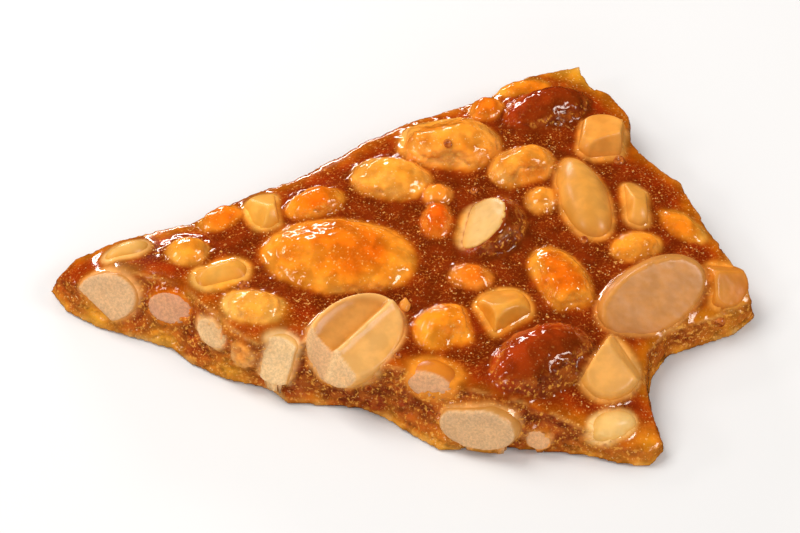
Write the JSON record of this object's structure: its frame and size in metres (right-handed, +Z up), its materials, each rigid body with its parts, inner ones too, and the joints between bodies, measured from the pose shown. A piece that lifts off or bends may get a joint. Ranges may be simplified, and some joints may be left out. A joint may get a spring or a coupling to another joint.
{
  "type": "nut brittle piece",
  "caption": "Broken triangular shard of hard amber caramel brittle set with chopped and halved nuts, flat underneath.",
  "frame": {"origin": "under the middle of the bounding box, on the flat underside", "axes": "+X along the longest extent, from the narrow tip to the wide end; +Z up, out of the nut-studded top"},
  "size_m": [0.09, 0.0638, 0.0105],
  "materials": {
    "caramel": "hard clear amber sugar, glossy on top, grainy where it is broken",
    "nut_flesh": "roasted nut flesh, satin on its own surface and matt and grainy where it is cut",
    "nut_glazed": "nut under a thin glossy film of amber sugar",
    "nut_skin": "red-brown papery nut skin under a glossy film"
  },
  "bodies": {
    "root": {"caramel": "caramel", "nut_tip_sliver": "nut_flesh", "nut_tip_face": "nut_flesh", "nut_face_second": "nut_glazed", "nut_pebble_left": "nut_glazed", "nut_lean_chunk": "nut_flesh", "nut_face_oval": "nut_flesh", "nut_ridge_wedge": "nut_glazed", "nut_face_diamond": "nut_flesh", "nut_grooved_half": "nut_flesh", "nut_big_half": "nut_glazed", "nut_corner_block": "nut_flesh", "nut_long_side": "nut_glazed", "nut_glazed_lump": "nut_glazed", "nut_teardrop": "nut_glazed", "nut_small_oval": "nut_glazed", "nut_pebble_mid": "nut_glazed", "nut_skin_cut": "nut_skin", "nut_crumb_mid": "nut_glazed", "nut_wedge_back": "nut_glazed", "nut_pebble_back": "nut_glazed", "nut_red_back": "nut_skin", "nut_block_back": "nut_flesh", "nut_smooth_kernel": "nut_flesh", "nut_block_small": "nut_flesh", "nut_low_right": "nut_glazed", "nut_long_right": "nut_glazed", "nut_flat_slice": "nut_flesh", "nut_corner_right": "nut_flesh", "nut_chunk_mid": "nut_glazed", "nut_chunk_centre": "nut_flesh", "nut_chunk_left": "nut_glazed", "nut_red_whole": "nut_skin", "nut_block_front": "nut_flesh", "nut_pale_low": "nut_flesh", "nut_face_big": "nut_flesh", "nut_ridge_slice": "nut_flesh", "nut_face_small": "nut_glazed", "nut_back_long": "nut_glazed", "nut_back_bump": "nut_glazed", "nut_face_disc": "nut_glazed", "nut_gloss_bump": "nut_glazed"}
  },
  "joints": []
}
